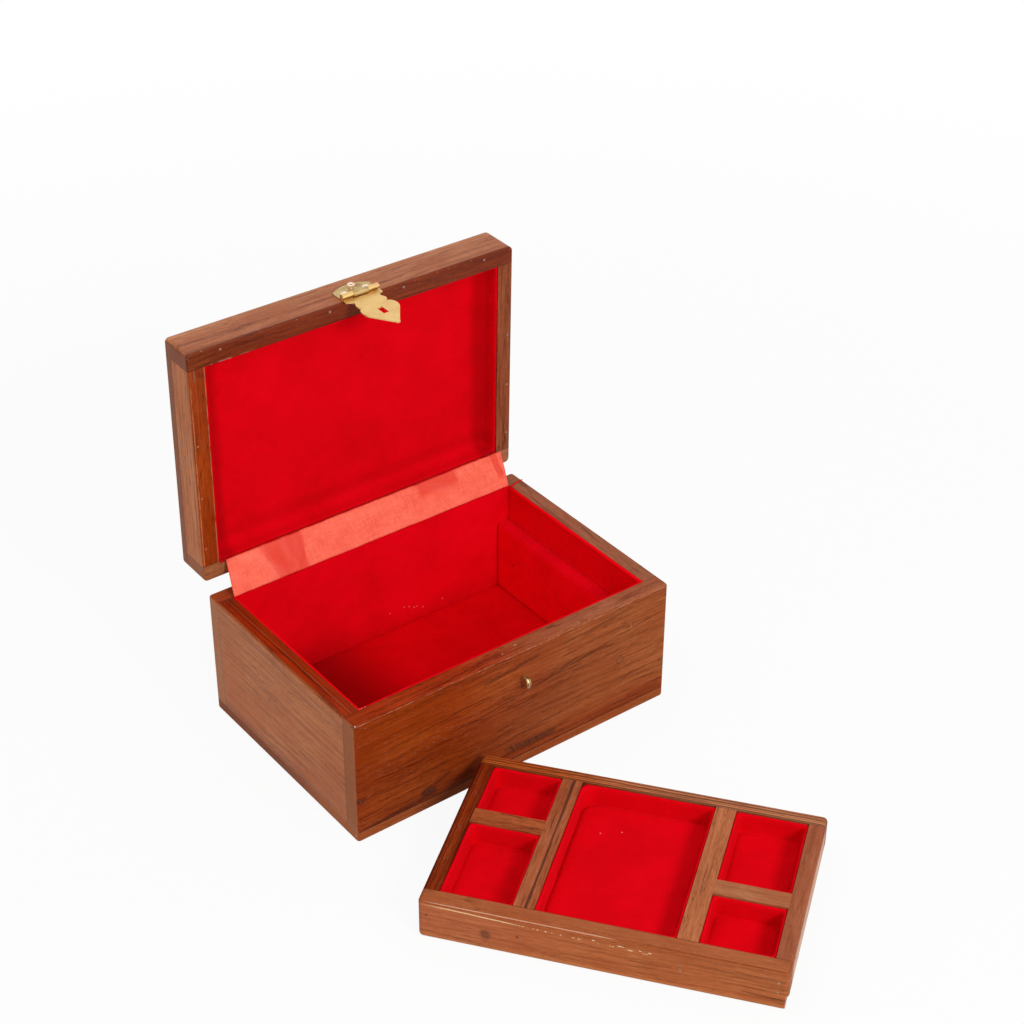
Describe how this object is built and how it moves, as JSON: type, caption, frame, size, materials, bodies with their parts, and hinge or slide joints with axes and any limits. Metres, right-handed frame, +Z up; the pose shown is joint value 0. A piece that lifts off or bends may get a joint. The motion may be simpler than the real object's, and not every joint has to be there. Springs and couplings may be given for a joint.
{
  "type": "jewellery box with lift-out tray",
  "caption": "Teak jewellery box lined in crimson velvet, with a hinged lid, brass hasp and turn knob, satin strip and a lift-out compartment tray",
  "frame": {"origin": "middle of the base's underside, on the surface that the box stands on", "axes": "+Z up; the front of the box, with the turn knob, faces -Y; the hinges are at the back, +Y; +X is to the right seen from the front. The lid is open at rest and the tray lies on the surface in front of the box."},
  "size_m": [0.2698, 0.4756, 0.2817],
  "materials": {
    "teak_case": "oiled teak, fine dark grain, dull varnish",
    "teak_lid": "oiled teak, fine dark grain, dull varnish",
    "teak_tray": "oiled teak, varnish chipped along the front edge",
    "velvet_base": "crimson cotton velvet over card",
    "velvet_lid": "crimson cotton velvet over wadding",
    "velvet_tray": "crimson cotton velvet over folded card",
    "satin": "coral satin strip",
    "brass_hinge": "cast brass, dulled",
    "brass_hasp": "stamped sheet brass, lightly tarnished",
    "brass_knob": "turned and filed brass",
    "nail_steel": "plain steel brads and nails"
  },
  "bodies": {
    "base": {"base_bottom_board": "teak_case", "base_front_board": "teak_case", "base_back_board": "teak_case", "base_left_board": "teak_case", "base_right_board": "teak_case", "base_lining_front": "velvet_base", "base_lining_back": "velvet_base", "base_lining_left": "velvet_base", "base_lining_right": "velvet_base", "base_lining_floor": "velvet_base", "tray_ledge_left": "velvet_base", "tray_ledge_right": "velvet_base", "hinge_left_base_leaf": "brass_hinge", "hinge_right_base_leaf": "brass_hinge", "hinge_left_pin": "brass_hinge", "hinge_right_pin": "brass_hinge", "hinge_base_screws": "brass_hinge", "knob_rove": "brass_knob", "satin_strip": "satin"},
    "knob": {"turn_knob": "brass_knob"},
    "lid": {"lid_top_panel": "teak_lid", "lid_front_rail": "teak_lid", "lid_back_rail": "teak_lid", "lid_left_rail": "teak_lid", "lid_right_rail": "teak_lid", "lid_lining_pad": "velvet_lid", "lid_lining_front": "velvet_lid", "lid_lining_back": "velvet_lid", "lid_lining_left": "velvet_lid", "lid_lining_right": "velvet_lid", "lid_brads": "nail_steel", "hinge_left_lid_leaf": "brass_hinge", "hinge_right_lid_leaf": "brass_hinge", "hinge_lid_screws": "brass_hinge", "hasp_plate": "brass_hasp", "hasp_pin": "brass_hasp", "hasp_rivets": "brass_hasp"},
    "strap": {"hasp_strap": "brass_hasp"},
    "tray": {"tray_front_rail": "teak_tray", "tray_back_rail": "teak_tray", "tray_left_rail": "teak_tray", "tray_right_rail": "teak_tray", "tray_long_left_divider": "teak_tray", "tray_long_right_divider": "teak_tray", "tray_short_left_divider": "teak_tray", "tray_short_right_divider": "teak_tray", "tray_bottom": "teak_tray", "tray_liner_back_left": "velvet_tray", "tray_liner_front_left": "velvet_tray", "tray_liner_centre": "velvet_tray", "tray_liner_back_right": "velvet_tray", "tray_liner_front_right": "velvet_tray", "tray_nails": "nail_steel"}
  },
  "joints": [
    {"name": "lid_hinge", "type": "hinge", "parent": "base", "child": "lid", "pos_m": [0, 0.0926, 0.0972], "axis": [1, 0, 0], "range_deg": [0, 89], "deforming": ["satin_strip"]},
    {"name": "hasp_hinge", "type": "hinge", "parent": "lid", "child": "strap", "pos_m": [0.004, 0.08992, 0.27938], "axis": [-1, 0, 0], "range_deg": [0, 165]},
    {"name": "knob_turn", "type": "hinge", "parent": "base", "child": "knob", "pos_m": [0.004, -0.087, 0.0713], "axis": [0, -1, 0], "range_deg": [0, 90]},
    {"name": "tray_lift", "type": "slide", "parent": "base", "child": "tray", "axis": [0, 0, 1], "range_m": [0, 0.12]}
  ]
}
